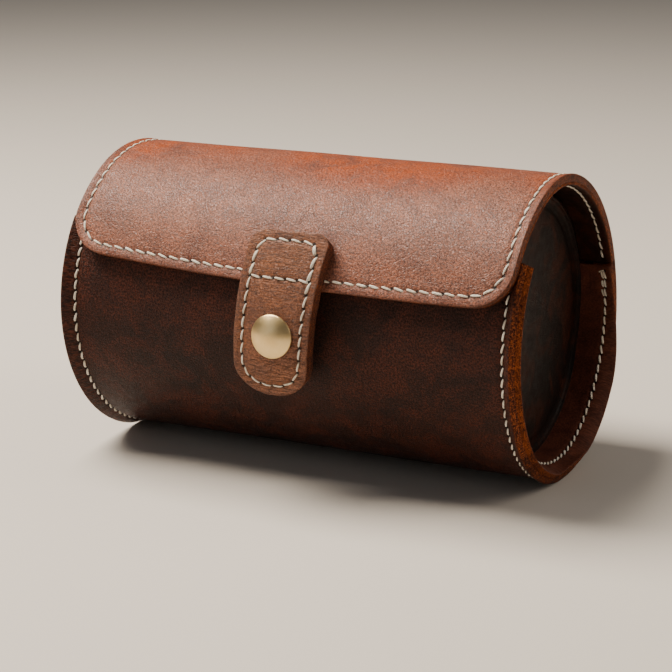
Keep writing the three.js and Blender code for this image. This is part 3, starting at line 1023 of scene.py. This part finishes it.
def flapTone(x, s):
    sweep = section["hingeAngle"] - section["lipAngle"]
    angle = section["hingeAngle"] - (hingeS - s) / (hingeS - lipS) * sweep
    along = wornCrest["usual"] + wornCrest["swing"] * math.sin(x * wornCrest["waves"] + wornCrest["phase"])
    along += 0.5 * noise.noise(Vector((x * 45, angle / 30, 0)))
    worn = bell(angle - wornCrest["angle"], wornCrest["width"]) * min(max(along, 0), 1)
    return 0.87 + 0.13 * ease((section["hingeAngle"] - angle) / 50) + worn


def bendOverHinge(obj):
    start = onSection(0, flap["foldStart"], -flap["foldDepth"])
    end = onSection(0, flap["foldEnd"], -flap["foldDepth"])
    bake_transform(obj)


def makeFlap():
    xs = edgedStations(-flapHalf, flapHalf, 1.5 * mm, 0.36 * mm, 6 * mm)
    ss = edgedStations(lipS, hingeS, 0.66 * mm, 0.4 * mm, 6 * mm)
    sheet = Sheet(xs, ss, hide, lowRadius=flap["corner"], openHigh=True, glued=-1)
    obj = sheet.finish("hide_flap", placeFlap(0), hideLeather, [flapRow], flapTone)
    bendOverHinge(obj)
    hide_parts("flap_leather")


def makeFlapLining():
    xs = edgedStations(-flapHalf, flapHalf, 2 * mm, 0.7 * mm, 6 * mm)
    ss = edgedStations(lipS, hingeS, 1.2 * mm, 0.7 * mm, 6 * mm)
    sheet = Sheet(xs, ss, liningThickness, lowRadius=flap["corner"], openHigh=True, glued=1)
    place = placeFlap(hide + ply)
    obj = sheet.finish("flap_inner", place, endShadedLeather, [flapRow], lambda x, s: 0.2, under=True)
    bendOverHinge(obj)
    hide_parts("flap_lining")


makeFlap()
makeFlapLining()
print("flap made")

# The tab.

tab = {
    "centre": 1.9 * mm,
    "width": 23.4 * mm,
    "taper": 0.022,
    "lean": 4,
    "hide": 1.9 * mm,
    "topAngle": 36.4,
    "tipAngle": -16.5,
    "foldAngle": 20.5,
    "snapAngle": 4,
    "relaxAngle": -4,
    "relax": 1.0 * mm,
    "topCorner": 4 * mm,
    "tipCorner": 10.5 * mm,
    "inset": 2.7 * mm,
    "pitch": 3.6 * mm,
    "crossAngle": 21.4,
    "tipMargin": 0.6 * mm,
    "boxTrim": 0.8 * mm,
    "seat": 0.15 * mm,
    "swell": 0.25 * mm,
    "ragged": 0.22 * mm,
    "raggedScale": 160,
    "foldAbove": 1.5,
    "foldBelow": 10,
}
tabBack = flap["standOff"] + tab["seat"]
tabOuter = tabBack + 2 * tab["hide"] + ply
tabReach = section["radius"] + tabOuter


def tabS(angle):
    return angle * degree * tabReach


def placeTab(depth):
    def place(x, s, z):
        angle = s / tabReach / degree
        drop = tab["relax"] * ease((tab["relaxAngle"] - angle) / (tab["relaxAngle"] - tab["tipAngle"]))
        shift = math.tan(tab["lean"] * degree) * (s - tabS(tab["snapAngle"]))
        swell = tab["swell"] * math.cos(min(abs(x) / (tab["width"] / 2), 1) * math.pi / 2)
        wide = x * (1 + tab["taper"] * (angle - tab["snapAngle"]) / 16)
        uneven = noise.noise(Vector((s * tab["raggedScale"], 3.1, 0))) * (x / tab["width"]) * 2
        across = tab["centre"] + wide + shift + tab["ragged"] * uneven
        return onSection(across, angle, tabOuter - depth - drop + swell + z, 0)

    return place


def tabRows():
    half = tab["width"] / 2 - tab["inset"]
    low = tabS(tab["tipAngle"]) + tab["inset"] + tab["tipMargin"]
    high = tabS(tab["topAngle"]) - tab["inset"]
    cross = tabS(tab["crossAngle"])
    tip = tab["tipCorner"] - tab["inset"]
    top = tab["topCorner"] - tab["boxTrim"]
    outline = [(half, cross)]
    outline += arc(half - tip, low + tip, tip, 0, -90)
    outline += arc(-half + tip, low + tip, tip, -90, -180)
    outline += [(-half, cross)]
    box = [(-half, cross)]
    box += arc(-half + top, high - top, top, 180, 90, 4)
    box += arc(half - top, high - top, top, 90, 0, 4)
    box += [(half, cross)]
    return [
        stitchRow(outline, tab["pitch"]),
        stitchRow(box, tab["pitch"]),
        stitchRow([(-half, cross), (half, cross)], tab["pitch"]),
    ]


sewnTab = tabRows()


def bendOverFold(obj):
    start = onSection(0, tab["foldAngle"] + tab["foldAbove"], tabOuter)
    end = onSection(0, tab["foldAngle"] - tab["foldBelow"], tabOuter)
    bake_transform(obj)


def makeTabLayer(name, depth, stitches, nodes, glued):
    half = tab["width"] / 2
    xs = edgedStations(-half, half, 0.6 * mm, 0.4 * mm, 5 * mm)
    ss = edgedStations(tabS(tab["tipAngle"]), tabS(tab["topAngle"]), 0.45 * mm, 0.4 * mm, 5 * mm)
    sheet = Sheet(
        xs, ss, tab["hide"], lowRadius=tab["tipCorner"], highRadius=tab["topCorner"], glued=glued
    )
    obj = sheet.finish(name, placeTab(depth), tabLeather, stitches, lambda x, s: 0.7)
    bendOverFold(obj)
    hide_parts(*nodes)


makeTabLayer("tab_front", 0, sewnTab, ("tab_anchor_face", "tab_face"), -1)
makeTabLayer("tab_back", tab["hide"] + ply, [], ("tab_anchor_backing", "tab_backing"), 1)
print("tab made")

# The thread.


# Back-stitches over a few holes, lying beside the first pass.
def doubled(row, first, last, shift=0.32 * mm):
    holes = row["holes"][first:last]
    moved = [(x + shift, s + shift) for x, s in holes]
    return [(a, b, 1.05) for a, b in zip(moved, moved[1:])]


def makeRimThreads(word, side):
    row = rimRows[side]
    outer = sewRows(f"{word}_rim_stitches", [row], placeWall(0), -stitching["sink"], 1, thread)
    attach(outer, "case")
    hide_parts(f"{word}_rim_thread_outer")
    x = row["holes"][0][0]
    beside = [(x - side * 0.75 * mm, hole[1]) for hole in row["holes"][-4:]]
    tack = [(a, b, 1.0) for a, b in zip(beside, beside[1:])]
    tack.append(((x, beside[-1][1]), (x - side * 2.2 * mm, beside[-1][1] + 0.4 * mm), 1.0))
    level = stitching["sink"] - hide
    place = placeWall(hide + ply)
    inner = sewRows(f"{word}_rim_stitches_inside", [row], place, level, -1, thread, tack)
    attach(inner, "case")
    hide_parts(f"{word}_rim_thread_inner")


def makeFlapThreads():
    outer = sewRows("flap_stitches", [flapRow], placeFlap(0), -stitching["sink"], 1, thread)
    bendOverHinge(outer)
    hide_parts("flap_thread_outer")
    level = stitching["sink"] - liningThickness
    place = placeFlap(hide + ply)
    inner = sewRows("flap_stitches_inside", [flapRow], place, level, -1, thread)
    bendOverHinge(inner)
    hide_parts("left_flap_thread_inner", "right_flap_thread_inner")


def makeTabThreads():
    outline, box = sewnTab[:2]
    extras = doubled(box, 0, 4, 0.3 * mm) + doubled(box, len(box["holes"]) - 4, None, -0.3 * mm)
    extras += doubled(outline, 0, 2, 0.25 * mm)
    front = sewRows("tab_stitches", sewnTab, placeTab(0), -stitching["sink"], 1, thread, extras)
    bendOverFold(front)
    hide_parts("tab_anchor_thread", "tab_thread_outer")
    level = stitching["sink"] - tab["hide"]
    back = sewRows("tab_stitches_inside", [outline], placeTab(tab["hide"] + ply), level, -1, thread)
    bendOverFold(back)
    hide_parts("tab_thread_inner")


makeRimThreads("left", -1)
makeRimThreads("right", 1)
makeFlapThreads()
makeTabThreads()
print("stitches made")

# The snap fastener.

snap = {
    "centre": 2.5 * mm,
    "cap": 6.25 * mm,
    "domeRadius": 10.5 * mm,
    "stud": 4.5 * mm,
    "socket": 4.6 * mm,
    "post": 1.3 * mm,
}
snapRadius = onSection(snap["centre"], tab["snapAngle"], 0, 0)
snapReach = math.hypot(snapRadius.y, snapRadius.z - axisHeight)


# A pressed metal piece: profile points are radius and height above the wall's face.
def turned(name, profile, body, nodes, material=capBrass):
    bm = bmesh.new()
    verts = [bm.verts.new((r, 0, h)) for r, h in profile]
    edges = [bm.edges.new(pair) for pair in zip(verts, verts[1:])]
    bmesh.ops.spin(
        bm, geom=verts + edges, cent=(0, 0, 0), axis=(0, 0, 1), angle=2 * math.pi, steps=56, use_merge=True
    )
    bmesh.ops.remove_doubles(bm, verts=bm.verts[:], dist=0.002 * mm)
    bmesh.ops.recalc_face_normals(bm, faces=bm.faces[:])
    a = tab["snapAngle"] * degree
    out = Vector((0, -math.cos(a), math.sin(a)))
    along = Vector((1, 0, 0))
    basis = Matrix((along, out.cross(along), out)).transposed().to_4x4()
    spot = Vector((snap["centre"], 0, axisHeight)) + out * snapReach
    bmesh.ops.transform(bm, matrix=Matrix.Translation(spot) @ basis, verts=bm.verts[:])
    obj = meshObject(name, bm, material)
    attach(obj, body)
    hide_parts(*nodes)
    return obj


def arcProfile(centreR, centreH, radius, start, end, steps):
    turn = [(start + (end - start) * k / steps) * degree for k in range(steps + 1)]
    return [(centreR + radius * math.cos(a), centreH + radius * math.sin(a)) for a in turn]


def makeSnap():
    base = tabOuter + 0.1 * mm
    rim = 0.55 * mm
    edge = snap["cap"] - rim
    tilt = math.asin((edge + rim * 0.5) / snap["domeRadius"]) / degree
    reach = edge + rim * math.sin(tilt * degree)
    centre = base + rim * (1 + math.cos(tilt * degree)) - snap["domeRadius"] * math.cos(tilt * degree)
    start = 90 - math.asin(reach / snap["domeRadius"]) / degree
    cap = [(0, tabBack - 1.2 * mm), (snap["post"], tabBack - 1.2 * mm), (snap["post"], base), (edge, base)]
    cap += arcProfile(edge, base + rim, rim, -90, 90 - tilt, 9)
    cap += arcProfile(0, centre, snap["domeRadius"], start, 90, 16)[1:]
    turned("snap_cap_dome", cap, "tab", ["snap_cap"])
    low, top = tabBack - 2.3 * mm, tabBack - 0.45 * mm
    hole, wide = 3.2 * mm, snap["socket"]
    socket = [(snap["post"] + 0.1 * mm, top - 0.4 * mm), (hole, top - 0.4 * mm), (hole, low + 0.2 * mm)]
    socket += arcProfile(hole + 0.3 * mm, low + 0.3 * mm, 0.3 * mm, 180, 270, 4)
    socket += arcProfile(wide - 0.5 * mm, low + 0.5 * mm, 0.5 * mm, -90, 0, 5)
    socket += [(wide, top), (snap["post"] + 0.1 * mm, top), (snap["post"] + 0.1 * mm, top - 0.4 * mm)]
    turned("snap_socket_ring", socket, "tab", ["snap_socket"])
    stud = [(0, 0.0), (snap["stud"] - 0.2 * mm, 0.0)]
    stud += arcProfile(snap["stud"] - 0.2 * mm, 0.3 * mm, 0.3 * mm, -90, 90, 5)
    stud += [(2.1 * mm, 0.65 * mm), (1.75 * mm, 0.8 * mm), (1.65 * mm, 1.1 * mm)]
    stud += arcProfile(1.5 * mm, 1.5 * mm, 0.4 * mm, -30, 90, 6) + [(0, 1.9 * mm)]
    turned("snap_stud_turned", stud, "case", ["snap_stud"])
    inside = -hide - ply - liningThickness
    post = [(0, inside - 0.9 * mm), (3.9 * mm, inside - 0.85 * mm)]
    post += arcProfile(4.0 * mm, inside - 0.6 * mm, 0.25 * mm, -90, 90, 4)
    post += [(1.0 * mm, inside - 0.3 * mm), (1.0 * mm, 0.5 * mm), (0, 0.5 * mm)]
    turned("snap_post_flange", post, "case", ["snap_stud_post"])
    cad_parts["snap_socket_spring"].data.materials.clear()
    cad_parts["snap_socket_spring"].data.materials.append(capBrass)


makeSnap()
print("snap made")

# Floor, light and camera.

studio = {
    "floor": "#d8d0c5",
    "world": "#c4c6cc",
    "worldStrength": 0.16,
}
# Power in watts, side in metres, place in metres from the part's origin, colour.
lamps = {
    "key": (21, 0.6, (-0.42, -0.06, 0.85), "#fff4e6"),
    "fill": (1.7, 1.0, (-0.6, -1.0, 0.5), "#f6f3f2"),
    "rim": (3.2, 0.5, (0.8, 0.25, 0.5), "#fff2e2"),
}


def addFloor():
    bm = bmesh.new()
    bmesh.ops.create_grid(bm, x_segments=2, y_segments=2, size=4)
    material, tree = newMaterial("paleFloor")
    place = addNode(tree, "ShaderNodeTexCoord").outputs["Object"]
    cloud = addNode(tree, "ShaderNodeTexNoise", None, {"Vector": place, "Scale": 3.0, "Detail": 4})
    gloss = addNode(
        tree, "ShaderNodeMapRange", None, {"Value": cloud.outputs["Fac"], "To Min": 0.6, "To Max": 0.75}
    )
    shader = addNode(
        tree,
        "ShaderNodeBsdfPrincipled",
        None,
        {"Base Color": tint(studio["floor"]), "Roughness": gloss.outputs["Result"]},
    )
    addNode(tree, "ShaderNodeOutputMaterial", None, {"Surface": shader.outputs["BSDF"]})
    meshObject("floor", bm, material, smooth=False)


def addArea(name, power, size, position, target, colour):
    data = bpy.data.lights.new(name, "AREA")
    data.energy = power
    data.size = size
    data.color = tint(colour)[:3]
    light = bpy.data.objects.new(name, data)
    light.location = position
    light.rotation_mode = "QUATERNION"
    light.rotation_quaternion = (target - Vector(position)).to_track_quat("-Z", "Y")
    bpy.context.scene.collection.objects.link(light)


def addStudio():
    middle = Vector((0, 0, axisHeight))
    world = bpy.data.worlds.new("studio")
    bpy.context.scene.world = world
    world.use_nodes = True
    background = world.node_tree.nodes["Background"]
    background.inputs["Color"].default_value = tint(studio["world"])
    background.inputs["Strength"].default_value = studio["worldStrength"]
    for name, (power, size, position, colour) in lamps.items():
        addArea(name, power, size, position, middle, colour)
    addCamera(middle)


addFloor()
addStudio()
print("stage set")
